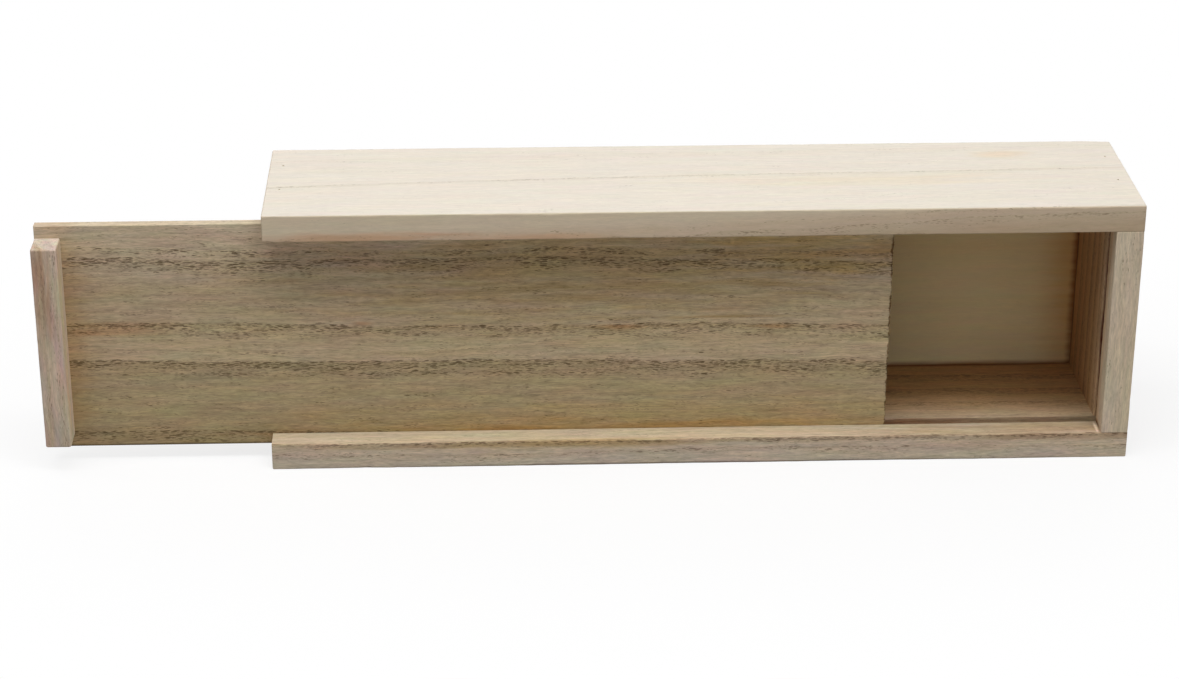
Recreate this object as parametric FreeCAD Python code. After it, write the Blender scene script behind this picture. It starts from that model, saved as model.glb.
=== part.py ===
import FreeCAD, Part
import os

V = FreeCAD.Vector

# A long wooden box with a sliding lid, standing on one of its side walls as it was photographed.
# X runs along the box: the lid draws out towards -X and the closed end is at +X.
# Y runs from the open front rim (-Y) to the bottom panel (+Y). Z is up, across the lid.
# The origin is the centre of the face that the box stands on. All sizes are in millimetres.

# The case: outside sizes, then the thickness of each kind of board
box_length = 316.0
box_depth = 68.0
box_width = 100.0
side_thickness = 10.0
end_thickness = 10.0
bottom_thickness = 5.0
rebate_width = 5.0

# The groove that guides the lid, and the lip of wood left in front of it
lip_depth = 10.0
groove_depth = 4.4

# The lid, and the play that lets it run: it rests low in its grooves, so the play is above it
lid_thickness = 4.0
lid_front_play = 0.3
lid_back_play = 0.3
lid_play_below = 0.2
lid_play_above = 1.2
lid_end_play = 0.8

# How far the lid stands drawn out of the closed box
lid_drawn_out = 82.0

# The batten across the lid's outer end, which the fingers pull on
batten_width = 9.2
batten_proud = 0.7
batten_play_below = 0.6
batten_play_above = 1.5

# Rounding of the sanded edges
outer_ease = 0.5
lip_ease = 0.3
lid_ease = 0.25
batten_ease = 0.6

# Headless pins through the side walls into the end walls, two to a joint
pin_radius = 0.325
corner_pin_length = 20.0
corner_pin_inset = 12.0
pin_set = 0.3

# Headless pins through the lid into the batten
batten_pin_length = 12.0
batten_pin_inset = 14.0

# Flat-headed brads through the bottom panel
brad_radius = 0.55
brad_length = 16.0
brad_head_radius = 1.1
brad_head_thickness = 0.6
side_brad_spacing = 88.0
side_brad_end_inset = 22.0
end_brad_inset = 24.0

# The case's faces, worked out from the sizes above
x_open = -box_length / 2
x_closed = box_length / 2
y_rim = -box_depth / 2
y_back = box_depth / 2
z_low = side_thickness
z_high = box_width - side_thickness
x_open_inner = x_open + end_thickness
x_closed_inner = x_closed - end_thickness
y_bottom_inner = y_back - bottom_thickness

# The lid groove's two faces
groove_width = lid_front_play + lid_thickness + lid_back_play
y_groove_front = y_rim + lip_depth
y_groove_back = y_groove_front + groove_width

# The lid's faces, drawn out
x_lid_outer = x_open - lid_drawn_out
x_lid_inner = x_closed_inner + groove_depth - lid_end_play - lid_drawn_out
y_lid_front = y_groove_front + lid_front_play
y_lid_back = y_lid_front + lid_thickness
z_lid_low = z_low - groove_depth + lid_play_below
z_lid_high = z_high + groove_depth - lid_play_above

# The batten's faces
x_batten_inner = x_lid_outer + batten_width
y_batten_front = y_rim - batten_proud
z_batten_low = z_low + batten_play_below
z_batten_high = z_high - batten_play_above


def board(x, y, z):
    """A plain board between the two values given along each of X, Y and Z."""
    return Part.makeBox(x[1] - x[0], y[1] - y[0], z[1] - z[0], V(x[0], y[0], z[0]))


def ease(solid, radius, on_edge):
    """Round the edges whose middle point on_edge accepts."""
    edges = [edge for edge in solid.Edges if on_edge(edge.CenterOfMass)]
    return solid.makeFillet(radius, edges)


def same(a, b):
    """Whether two coordinates are the same place."""
    return abs(a - b) < 1e-6


def rod(radius, start, direction, length):
    """A round rod from start along direction."""
    return Part.makeCylinder(radius, length, start, direction)


def evenly(low, high, most):
    """Places from low to high, no further apart than most."""
    gaps = max(1, round((high - low) / most))
    return [low + (high - low) * i / gaps for i in range(gaps + 1)]


# Corner pins: each runs from a side wall's outer face into the end grain of an end wall
def corner_pin_places():
    """Start point and direction of each pin's hole, on the outer faces of both side walls."""
    columns = (x_open + end_thickness / 2, x_closed - end_thickness / 2)
    rows = (y_groove_back + corner_pin_inset, y_bottom_inner - corner_pin_inset)
    places = []
    for x in columns:
        for y in rows:
            places.append((V(x, y, 0), V(0, 0, 1)))
            places.append((V(x, y, box_width), V(0, 0, -1)))
    return places


def corner_pin_holes():
    return [rod(pin_radius, start, way, corner_pin_length) for start, way in corner_pin_places()]


def corner_pins():
    """The pins stand a little under the wood's surface."""
    return [rod(pin_radius, start + way * pin_set, way, corner_pin_length - pin_set)
            for start, way in corner_pin_places()]


# Bottom brads: driven from the back, along the rebates and into the end walls
def brad_places():
    """Where each brad's head meets the bottom panel's outer face."""
    z_side = (z_low - rebate_width / 2, z_high + rebate_width / 2)
    x_side = evenly(x_open + side_brad_end_inset, x_closed - side_brad_end_inset, side_brad_spacing)
    x_end = (x_open + end_thickness / 2, x_closed - end_thickness / 2)
    z_end = (z_low + end_brad_inset, z_high - end_brad_inset)
    places = [V(x, y_back, z) for z in z_side for x in x_side]
    places += [V(x, y_back, z) for z in z_end for x in x_end]
    return places


def brad(place):
    """One brad: a flat head let in flush, and its shank."""
    inwards = V(0, -1, 0)
    head = rod(brad_head_radius, place, inwards, brad_head_thickness)
    shank = rod(brad_radius, place, inwards, brad_length)
    return head.fuse(shank).removeSplitter()


# Batten pins: driven from the lid's inner face, through the lid and into the batten
def batten_pin_places():
    x = (x_lid_outer + x_batten_inner) / 2
    return [V(x, y_lid_back, z) for z in (z_batten_low + batten_pin_inset, z_batten_high - batten_pin_inset)]


def batten_pin_holes():
    return [rod(pin_radius, place, V(0, -1, 0), batten_pin_length) for place in batten_pin_places()]


def batten_pins():
    start = V(0, -pin_set, 0)
    return [rod(pin_radius, place + start, V(0, -1, 0), batten_pin_length - pin_set)
            for place in batten_pin_places()]


# Side walls: the upper is drawn, and the lower is its mirror image across the box's middle
def side_wall():
    wall = board((x_open, x_closed), (y_rim, y_back), (z_high, box_width))
    wall = ease(wall, outer_ease, lambda at: at.z > z_high + side_thickness / 4)
    wall = ease(wall, lip_ease, lambda at: same(at.z, z_high) and same(at.y, y_rim))
    lid_groove = board((x_open, x_closed), (y_groove_front, y_groove_back), (z_high, z_high + groove_depth))
    rebate = board((x_open, x_closed), (y_bottom_inner, y_back), (z_high, z_high + rebate_width))
    return wall.cut([lid_groove, rebate])


def upper_side_wall():
    return side_wall().cut(corner_pin_holes() + [brad(place) for place in brad_places()])


def lower_side_wall():
    wall = side_wall().mirror(V(0, 0, box_width / 2), V(0, 0, 1))
    return wall.cut(corner_pin_holes() + [brad(place) for place in brad_places()])


# End walls: let in between the side walls
def closed_end_wall():
    """Full depth, with a groove that the lid's inner end runs into."""
    wall = board((x_closed_inner, x_closed), (y_rim, y_bottom_inner), (z_low, z_high))
    wall = ease(wall, outer_ease, lambda at: same(at.x, x_closed) and same(at.y, y_rim))
    wall = ease(wall, lip_ease, lambda at: same(at.x, x_closed_inner) and same(at.y, y_rim))
    lid_groove = board((x_closed_inner, x_closed_inner + groove_depth), (y_groove_front, y_groove_back),
                       (z_low, z_high))
    return wall.cut([lid_groove] + corner_pin_holes() + [brad(place) for place in brad_places()])


def open_end_wall():
    """Lower than the rim by the lip and the groove, so that the lid passes over it."""
    wall = board((x_open, x_open_inner), (y_groove_back, y_bottom_inner), (z_low, z_high))
    wall = ease(wall, lip_ease, lambda at: same(at.y, y_groove_back) and at.z > z_low and at.z < z_high)
    return wall.cut(corner_pin_holes() + [brad(place) for place in brad_places()])


# Bottom panel: let into the rebates, flush with the back and with both ends
def bottom_panel():
    panel = board((x_open, x_closed), (y_bottom_inner, y_back), (z_low - rebate_width, z_high + rebate_width))
    panel = ease(panel, outer_ease, lambda at: same(at.y, y_back) and same(abs(at.x), x_closed))
    return panel.cut([brad(place) for place in brad_places()])


# Lid and batten
def lid_panel():
    lid = board((x_lid_outer, x_lid_inner), (y_lid_front, y_lid_back), (z_lid_low, z_lid_high))
    middle = (x_lid_outer + x_lid_inner) / 2
    lid = ease(lid, lid_ease, lambda at: same(at.x, middle))
    return lid.cut(batten_pin_holes())


def lid_batten():
    batten = board((x_lid_outer, x_batten_inner), (y_batten_front, y_lid_front), (z_batten_low, z_batten_high))
    batten = ease(batten, batten_ease, lambda at: at.y < y_lid_front - batten_ease)
    return batten.cut(batten_pin_holes())


os.makedirs("parts", exist_ok=True)

pieces = {
    "upper_side_wall": upper_side_wall(),
    "lower_side_wall": lower_side_wall(),
    "closed_end_wall": closed_end_wall(),
    "open_end_wall": open_end_wall(),
    "bottom_panel": bottom_panel(),
    "lid_panel": lid_panel(),
    "lid_batten": lid_batten(),
    "corner_pins": Part.makeCompound(corner_pins()),
    "bottom_brads": Part.makeCompound([brad(place) for place in brad_places()]),
    "batten_pins": Part.makeCompound(batten_pins()),
}

for name, shape in pieces.items():
    shape.exportStep(f"parts/{name}.step")
    print(f"{name}: {len(shape.Solids)} solids, {shape.Volume / 1000:.3f} cm3, valid {shape.isValid()}")
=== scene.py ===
"""Looks of a long wooden box with a sliding lid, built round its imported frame.

The box stands on one of its side walls with its rim towards the camera, and its lid is drawn out to
the left. X runs along the box, Y from the rim to the bottom panel, and Z up across the lid. Sizes are in
millimetres unless a docstring says metres, and a mesh goes to metres when it is made.
"""

import logging
import math
from dataclasses import dataclass, field
from enum import Enum

import bpy
import numpy as np
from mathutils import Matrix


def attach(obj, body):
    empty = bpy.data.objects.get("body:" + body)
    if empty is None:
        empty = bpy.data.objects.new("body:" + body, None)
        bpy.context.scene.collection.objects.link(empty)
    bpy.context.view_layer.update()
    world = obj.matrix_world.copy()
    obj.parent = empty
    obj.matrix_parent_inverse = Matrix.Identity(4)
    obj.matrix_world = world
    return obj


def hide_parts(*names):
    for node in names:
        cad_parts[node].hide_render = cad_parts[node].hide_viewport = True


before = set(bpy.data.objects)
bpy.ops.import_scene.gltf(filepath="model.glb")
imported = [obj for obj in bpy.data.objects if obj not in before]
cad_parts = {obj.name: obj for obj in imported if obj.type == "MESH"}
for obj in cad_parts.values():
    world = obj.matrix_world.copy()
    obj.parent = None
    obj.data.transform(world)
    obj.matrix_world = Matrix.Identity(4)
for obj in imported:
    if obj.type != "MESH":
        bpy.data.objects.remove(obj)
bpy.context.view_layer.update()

MM = 0.001
WHITE = (1.0, 1.0, 1.0, 1.0)
# A turn of the surface sharper than this is shaded as a crisp edge
CRISP_TURN = math.radians(31)

Tree = bpy.types.NodeTree
Socket = bpy.types.NodeSocket
Point = tuple[float, float, float]
Faces = list[list[int]]

log = logging.getLogger("sliding_lid_box")


class Axis(Enum):
    """An axis of the frame, by its column in a point."""

    X = 0
    Y = 1
    Z = 2


def linear(colour: str) -> tuple[float, float, float, float]:
    """Turn an sRGB hex colour into linear light.

    Args:
        colour: Six hex digits, such as "cdb99e".

    Returns:
        Red, green, blue and an alpha of 1.
    """
    parts = [int(colour[i:i + 2], 16) / 255 for i in (0, 2, 4)]
    red, green, blue = (c / 12.92 if c <= 0.04045 else ((c + 0.055) / 1.055) ** 2.4 for c in parts)
    return red, green, blue, 1.0


def node(tree: Tree, kind: str, inputs: dict | None = None, **settings) -> bpy.types.Node:
    """Add one node to a tree, with its settings, its values and its links.

    Args:
        tree: The tree that the node goes into.
        kind: The node's type, without its "ShaderNode".
        inputs: For an input's name or number, the socket that feeds it or the value that it holds.
        settings: The node's own properties.

    Returns:
        The new node.
    """
    made = tree.nodes.new("ShaderNode" + kind)
    for name, value in settings.items():
        setattr(made, name, value)
    for name, value in (inputs or {}).items():
        if isinstance(value, Socket):
            tree.links.new(value, made.inputs[name])
        else:
            made.inputs[name].default_value = value
    return made


def set_stops(ramp: bpy.types.ColorRamp, stops: list[tuple[float, tuple]]) -> None:
    """Give a colour ramp its stops in place of those it has.

    Args:
        ramp: The colour ramp.
        stops: Each stop's place from 0 to 1 and its linear colour, in order.
    """
    while len(ramp.elements) > 1:
        ramp.elements.remove(ramp.elements[-1])
    ramp.elements[0].position, ramp.elements[0].color = stops[0]
    for place, colour in stops[1:]:
        ramp.elements.new(place).color = colour


def new_material(name: str) -> tuple[bpy.types.Material, Tree]:
    """Make a material with an empty node tree.

    Args:
        name: The material's name.

    Returns:
        The material and its tree.
    """
    material = bpy.data.materials.new(name)
    material.use_nodes = True
    material.node_tree.nodes.clear()
    return material, material.node_tree


def dress_in(piece: bpy.types.Object, material: bpy.types.Material) -> None:
    """Give a piece one material in place of those it has."""
    piece.data.materials.clear()
    piece.data.materials.append(material)


def wander(places: np.ndarray, spacing: float, rng: np.random.Generator) -> np.ndarray:
    """Work out smooth noise along a line.

    Random values from -1 to 1 stand every spacing mm, and between two of them the noise is
    a + (b - a) (3 t^2 - 2 t^3), where t is the share of the way from one to the next.

    Args:
        places: Where the noise is wanted, in mm.
        spacing: The distance between two random values, in mm.
        rng: The random numbers' source.

    Returns:
        One value for each place.
    """
    steps = (places - places.min()) / spacing
    values = rng.uniform(-1, 1, int(steps.max()) + 2)
    cell = steps.astype(int)
    share = steps - cell
    return values[cell] + (values[cell + 1] - values[cell]) * share * share * (3 - 2 * share)


def layered(places: np.ndarray, layers: tuple[tuple[float, float], ...], level: float,
            rng: np.random.Generator) -> np.ndarray:
    """Add layers of smooth noise to a level.

    Args:
        places: Where the sum is wanted, in mm.
        layers: Each layer's strength, and the spacing of its random values in mm.
        level: The value that the layers are added to.
        rng: The random numbers' source.

    Returns:
        One value for each place.
    """
    total = np.full(len(places), level)
    for strength, spacing in layers:
        total = total + strength * wander(places, spacing, rng)
    return total


def dip(places: np.ndarray, at: float, depth: float, length: float) -> np.ndarray:
    """Work out a smooth dip along a line, depth exp(-((x - at) / length)^2).

    Args:
        places: Where the dip is wanted, in mm.
        at: The dip's middle, in mm.
        depth: How deep it is there, in mm.
        length: How far to each side it has fallen to about a third, in mm.

    Returns:
        One value for each place.
    """
    return depth * np.exp(-((places - at) / length) ** 2)


def make_object(name: str, points: np.ndarray, faces: Faces) -> bpy.types.Object:
    """Make an object at the origin from points in mm and faces, with its corners kept crisp.

    Args:
        name: The object's name.
        points: One row a point, in mm.
        faces: Each face's points by number, anticlockwise from outside.

    Returns:
        The object, linked to the scene.
    """
    mesh = bpy.data.meshes.new(name)
    mesh.from_pydata((points * MM).tolist(), [], faces)
    mesh.polygons.foreach_set("use_smooth", np.ones(len(mesh.polygons), bool))
    mesh.set_sharp_from_angle(angle=CRISP_TURN)
    made = bpy.data.objects.new(name, mesh)
    bpy.context.scene.collection.objects.link(made)
    return made


def cut(piece: bpy.types.Object, cutter: bpy.types.Object) -> None:
    """Take the cutter's shape out of a piece, and put the result in the piece's mesh.

    Args:
        piece: The piece that is cut.
        cutter: A closed object, which stays as it is.
    """
    cutting = piece.modifiers.new("bores", "BOOLEAN")
    cutting.operation = "DIFFERENCE"
    cutting.solver = "EXACT"
    cutting.object = cutter
    graph = bpy.context.evaluated_depsgraph_get()
    mesh = bpy.data.meshes.new_from_object(piece.evaluated_get(graph))
    piece.modifiers.clear()
    old, piece.data = piece.data, mesh
    bpy.data.meshes.remove(old)
    mesh.name = piece.name
    mesh.set_sharp_from_angle(angle=CRISP_TURN)


@dataclass(frozen=True)
class Corner:
    """A corner of a board's cross-section: its two coordinates, and the radius of its sanded edge."""

    a: float
    b: float
    ease: float = 0.0


@dataclass(frozen=True)
class Dent:
    """A place where an edge has lost more wood: on which corner, where on the path, how deep, how long."""

    corner: int
    at: float
    depth: float
    length: float


# Hand sanding: by what share an eased edge's radius wavers, and the spacing of each waver in mm
SANDING = ((0.3, 26.0), (0.22, 4.3))
# A saw's tear-out: the share of its depth that each layer gives, and the layer's spacing in mm
TEAR_OUT = ((0.5, 1.1), (0.35, 0.45), (0.15, 9.0))
# The least and the most that a nick in an edge is deep and long, in mm
NICK_DEPTH = (0.1, 0.35)
NICK_LENGTH = (0.6, 2.2)


@dataclass
class Board:
    """A board along X or Z: a closed cross-section carried along a straight path, with worn edges.

    cad_node is the solid that the board stands for, and slot the record's slot of its finish, which is not
    used. The corners go round the cross-section, and side i runs from corner i to the next. eased_sides are
    those whose edges at the two ends are rounded by end_ease. nicks is how many small nicks each eased edge
    has.
    Sawn corners are torn back by up to twice sawn_depth, and by sawn_slant for each mm along the path.
    """

    name: str
    cad_node: str
    slot: str
    path: Axis
    start: float
    end: float
    corners: tuple[Corner, ...]
    eased_sides: tuple[int, ...]
    end_ease: float
    seed: int
    nicks: int
    step: float = 1.0
    dents: tuple[Dent, ...] = ()
    sawn_corners: tuple[int, ...] = ()
    sawn_depth: float = 0.0
    sawn_slant: float = 0.0
    arc_steps: int = 4
    support: float = 0.3

    def outline(self) -> tuple[np.ndarray, np.ndarray, np.ndarray, np.ndarray]:
        """Work out the cross-section's points as place + ease * pull + inset * draw.

        With u the direction into a corner and v the direction out of it, a rounded corner has the points
        corner - u r (1 - sin t) + v r (1 - cos t) for t from 0 to a quarter turn, which are linear in its
        ease r. A support point stands a little beyond each end of the arc. When an eased side is drawn in
        by an inset, its corners move with it.

        Returns:
            Places, pulls and draws, each one row a point, and the number of each point's corner.
        """
        spots = np.array([(c.a, c.b) for c in self.corners])
        into = spots - np.roll(spots, 1, 0)
        into /= np.linalg.norm(into, axis=1)[:, None]
        out = np.roll(into, -1, 0)
        inward = np.stack([-out[:, 1], out[:, 0]], 1)
        eased = np.isin(np.arange(len(spots)), self.eased_sides)[:, None]
        draws = inward * eased + np.roll(inward * eased, 1, 0)
        turn = np.linspace(0, np.pi / 2, self.arc_steps + 1)[:, None]
        places, pulls, owners = [], [], []
        for i, corner in enumerate(self.corners):
            u, v = into[i], out[i]
            if corner.ease:
                pull = np.vstack([-u, -u * (1 - np.sin(turn)) + v * (1 - np.cos(turn)), v])
                shift = np.zeros_like(pull)
                shift[0], shift[-1] = -u * self.support, v * self.support
            else:
                pull = shift = np.zeros((1, 2))
            places.append(spots[i] + shift)
            pulls.append(pull)
            owners += [i] * len(pull)
        owners = np.array(owners)
        return np.vstack(places), np.vstack(pulls), draws[owners], owners

    def stations(self) -> tuple[np.ndarray, np.ndarray]:
        """Work out places along the path, and how far the eased sides are drawn in at each.

        Near an end of ease r the inset is r (1 - cos p) at the distance r (1 - sin p) from the end, for p
        to a quarter turn. One more ring in the plane of the end keeps its shading flat.

        Returns:
            Places in mm and insets in mm.
        """
        r = self.end_ease
        p = np.linspace(np.pi / 2, 0, self.arc_steps + 1)
        near = np.concatenate([[0], r * (1 - np.sin(p)), [r + self.support]])
        inset = np.concatenate([[r + self.support], r * (1 - np.cos(p)), [0]])
        low, high = self.start + near[-1], self.end - near[-1]
        count = max(2, round((high - low) / self.step))
        middle = np.linspace(low, high, count + 1)[1:-1]
        places = np.concatenate([self.start + near, middle, (self.end - near)[::-1]])
        insets = np.concatenate([inset, np.zeros(len(middle)), inset[::-1]])
        return places, insets

    def eases(self, places: np.ndarray, rng: np.random.Generator) -> np.ndarray:
        """Work out each corner's ease at each station: its own, wavering, with nicks and dents added.

        Args:
            places: The stations, in mm.
            rng: The random numbers' source.

        Returns:
            One row a station and one column a corner.
        """
        eases = np.zeros((len(places), len(self.corners)))
        for i, corner in enumerate(self.corners):
            eases[:, i] = corner.ease * layered(places, SANDING, 1.0, rng)
            for _ in range(self.nicks if corner.ease else 0):
                at = rng.uniform(self.start, self.end)
                depth = rng.uniform(*NICK_DEPTH)
                eases[:, i] += dip(places, at, depth, rng.uniform(*NICK_LENGTH))
        for dent in self.dents:
            eases[:, dent.corner] += dip(places, dent.at, dent.depth, dent.length)
        return eases

    def points(self) -> np.ndarray:
        """Work out every point, one block a station: the outline at that station's eases and inset.

        A sawn corner also moves back along the cross-section's first coordinate by a ragged amount, and
        by a slant along the path where the saw ran out of square.

        Returns:
            An array of stations, outline points and three coordinates, in mm.
        """
        rng = np.random.default_rng(self.seed)
        place, pull, draw, owner = self.outline()
        along, inset = self.stations()
        ease = self.eases(along, rng)[:, owner, None]
        flat = place + ease * pull + inset[:, None, None] * draw
        for i in self.sawn_corners:
            ragged = layered(along, TEAR_OUT, 0.0, rng)
            back = self.sawn_depth * (ragged + 1) + self.sawn_slant * (self.end - along)
            flat[:, owner == i, 0] -= back[:, None]
        full = np.empty(flat.shape[:2] + (3,))
        others = [axis.value for axis in Axis if axis is not self.path]
        full[:, :, self.path.value] = along[:, None]
        full[:, :, others] = flat
        return full

    def build(self) -> bpy.types.Object:
        """Make the board's object: quads between neighbouring stations, and one face over each end.

        Returns:
            The object, at the origin.
        """
        grid = self.points()
        rows, columns = grid.shape[:2]
        here = np.arange(rows * columns).reshape(rows, columns)
        there = np.roll(here, -1, 1)
        quads = np.stack([here[:-1], there[:-1], there[1:], here[1:]], -1).reshape(-1, 4)
        faces = quads.tolist() + [here[0][::-1].tolist(), here[-1].tolist()]
        return make_object(self.name, grid.reshape(-1, 3), faces)

    def fit(self, cutter: bpy.types.Object, body: str) -> bpy.types.Object:
        """Build the board, cut the fasteners' bores in it, and stand it for its solid.

        Args:
            cutter: The bores.
            body: The body that the board rides on.

        Returns:
            The finished piece, still without its wood.
        """
        piece = self.build()
        cut(piece, cutter)
        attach(piece, body)
        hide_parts(self.cad_node)
        log.info("%s: %d faces", self.name, len(piece.data.polygons))
        return piece


@dataclass(frozen=True)
class Ring:
    """A growth-ring line: where it crosses the board, how strong it is, and how far its pores reach."""

    at: float
    strength: float
    fade: float


@dataclass(frozen=True)
class Face:
    """A face with a colour of its own, apart from the rest of the board: the way it looks, and that colour,
    which can be partly painted light.

    rings and pores say how strongly the ring lines and the pores show there, 1 being as on the rest.
    """

    way: Point
    body: str
    rings: float = 1.0
    pores: float = 1.0


@dataclass(frozen=True)
class Patch:
    """A stained or paler place inside the wood, a place of painted shade, or a place of painted reflected
    light: its centre, its half sizes, its tint, and its gain.

    broken says how far the fibres break up its edge, from 0 for a smooth one.
    """

    centre: Point
    half: Point
    tint: str
    gain: float = 1.0
    broken: float = 1.6


@dataclass(frozen=True)
class Streak:
    """A noise drawn out along the grain: its cells' length and width in mm, and its detail.

    shift says how far each unit of a board's seed moves it along, across and through the grain, in cells.
    """

    length: float
    width: float
    shift: Point
    detail: float = 1.0

    def mapping(self, seed: float) -> dict[str, Point]:
        """The scale and the place of the noise on the board that has this seed."""
        scale = (1 / self.length, 1 / self.width, 1 / self.width)
        return {"Scale": scale, "Location": tuple(seed * s for s in self.shift)}


# The grain's bending: the board's slow bow, ripples in it, and the fibres' own waver
BOW = Streak(130, 34, (1.0, 1.7, 0.6))
RIPPLE = Streak(16, 4, (1.0, 1.7, 0.6))
WAVER = Streak(4, 1.5, (1.0, 1.7, 0.6))
RIPPLE_SHARE = 0.3
WAVER_REACH = 0.13
# The noise seldom leaves 0.25 to 0.75, so this gain makes an amount the bend's reach in mm
BEND_GAIN = 4.0

# Fibres are about 0.03 mm wide, too fine to show, so they are drawn as streaks of 0.4 and 1.2 mm
FIBRE = Streak(3.6, 0.38, (3.1, 1.0, 2.3), 3.0)
FIBRE_BUNDLE = Streak(20, 1.2, (3.1, 1.0, 2.3), 2.0)
FIBRE_ROUGHNESS = 0.6
BUNDLE_SHARE = 0.4
MOTTLE = Streak(26, 4.5, (3.1, 1.0, 2.3), 3.0)
# The range of the fibres' noise that goes from their darkest to their lightest
FIBRE_RANGE = (0.3, 0.7)

# Open pores are 0.2 to 0.3 mm wide and are drawn a little wider, in dashes, so that they show
COARSE_PORE = Streak(3.4, 0.44, (0.0, 5.3, 0.0))
FINE_PORE = Streak(2.3, 0.34, (0.0, 5.3, 0.0))
PORE_CLUSTER = Streak(16, 2.2, (1.0, 0.0, 0.0), 2.0)
# How far a pore reaches from its cell's middle, as a sum of what makes it long, and its soft edge, in cells
REACH_BASE = -0.34
REACH_BY_RING = 0.5
REACH_BY_CLUSTER = 0.84
REACH_BY_LUCK = -0.26
REACH_MOST = 0.47
REACH_EXTRA_FINE = 0.06
PORE_SOFT_EDGE = 0.08

# How dense the pores are at shares of a ring's fade below its line, and where above it they start, in mm
RING_PROFILE = ((1.0, 0.0), (0.7, 0.45), (0.3, 0.7), (0.08, 1.0), (0.0, 1.0))
RING_START = 0.4
CLOSEST_STOPS = 1e-4

# The cosines to a face's way, and to the grain, over which a face's finish and a sawn end's come in
FACE_TURN = (0.6, 0.98)
END_TURN = (0.35, 0.95)

# The edge of a stain or of painted shading, drawn out along the fibres, and how far out it starts, in half
# sizes
STAIN_AND_SHADING_EDGE = Streak(30, 2.4, (0.0, 4.1, 0.0), 3.0)
STAIN_AND_SHADING_RIM = 1.1

# The surface's relief, in shares of its depth in mm
RELIEF = 0.12
RELIEF_STRENGTH = 0.5
COARSE_PORE_RISE = -1.0
FINE_PORE_RISE = -0.35
FIBRE_RISE = 0.3

# Bare wood's IOR, its low gloss, and how far its roughness changes over the board
WOOD_IOR = 1.5
WOOD_SPECULAR = 0.3
WOOD_GLOSS_CHANGE = 0.1


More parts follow.
